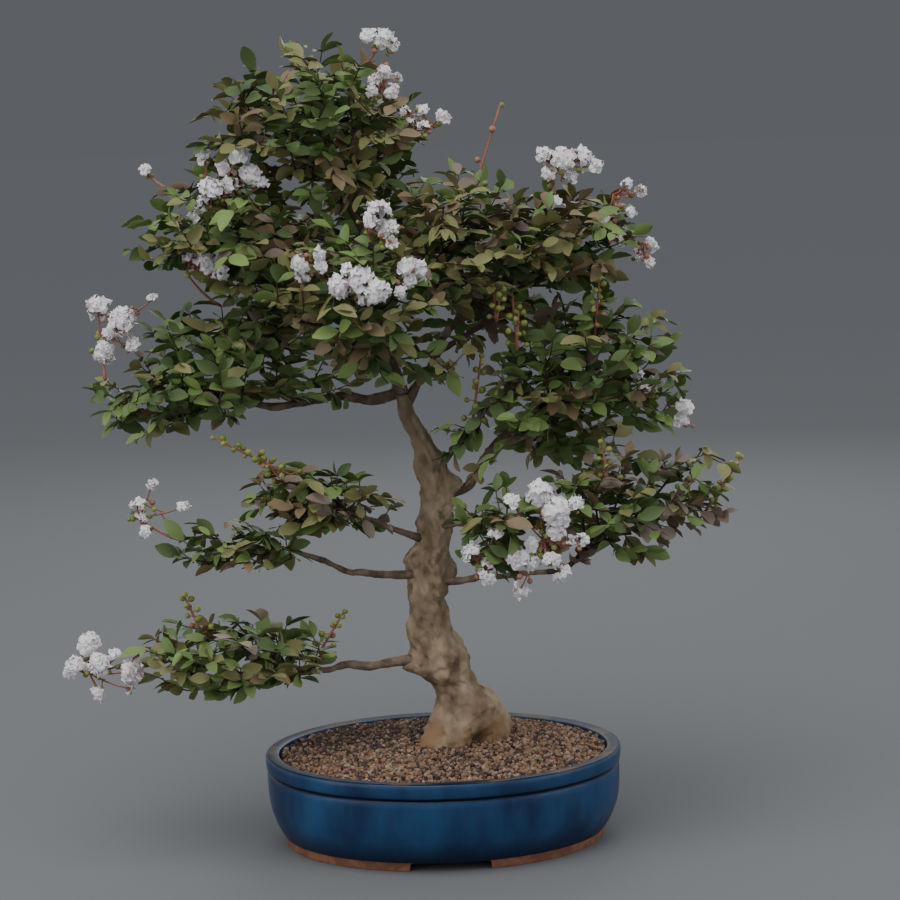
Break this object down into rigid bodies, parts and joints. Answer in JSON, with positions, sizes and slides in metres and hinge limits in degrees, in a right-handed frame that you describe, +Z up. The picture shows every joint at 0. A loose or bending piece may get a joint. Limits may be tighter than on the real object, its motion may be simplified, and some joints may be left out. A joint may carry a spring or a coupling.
{
  "type": "crape myrtle bonsai",
  "caption": "Potted bonsai tree: a tapering leaning trunk with spreading boughs, leaf masses and blossom heads, in an oval glazed pot filled with gravel.",
  "frame": {"origin": "middle of the underside of the whole tree's box, on the surface that the pot stands on", "axes": "+Z up, +X along the pot's length to the right of the view, +Y away from the view"},
  "size_m": [0.6936, 0.3558, 0.8122],
  "materials": {
    "glazed_pot": "deep blue glaze over stoneware",
    "gravel": "loose tan and brown grains",
    "bark": "smooth mottled pale bark",
    "foliage": "green and bronze leaves with pale blossom"
  },
  "bodies": {
    "root": {"centre_bough": "bark", "centre_mass": "foliage", "front_bough": "bark", "front_mass": "foliage", "front_right_bough": "bark", "front_right_mass": "foliage", "gravel": "gravel", "leader": "bark", "left_bough": "bark", "left_inner_mass": "foliage", "left_mass": "foliage", "left_rising_bough": "bark", "left_tip_mass": "foliage", "low_left_bough": "bark", "low_left_mass": "foliage", "low_rear_mass": "foliage", "low_right_bough": "bark", "low_right_mass": "foliage", "mid_left_bough": "bark", "mid_left_mass": "foliage", "pot": "glazed_pot", "rear_bough": "bark", "rear_left_bough": "bark", "rear_left_mass": "foliage", "rear_mass": "foliage", "rear_right_bough": "bark", "rear_right_mass": "foliage", "rear_top_bough": "bark", "rear_top_mass": "foliage", "right_bough": "bark", "right_mass": "foliage", "right_rear_bough": "bark", "right_rising_bough": "bark", "top_mass": "foliage", "trunk": "bark", "upper_left_bough": "bark", "upper_left_mass": "foliage", "upper_mid_left_bough": "bark", "upper_right_mass": "foliage"}
  },
  "joints": []
}
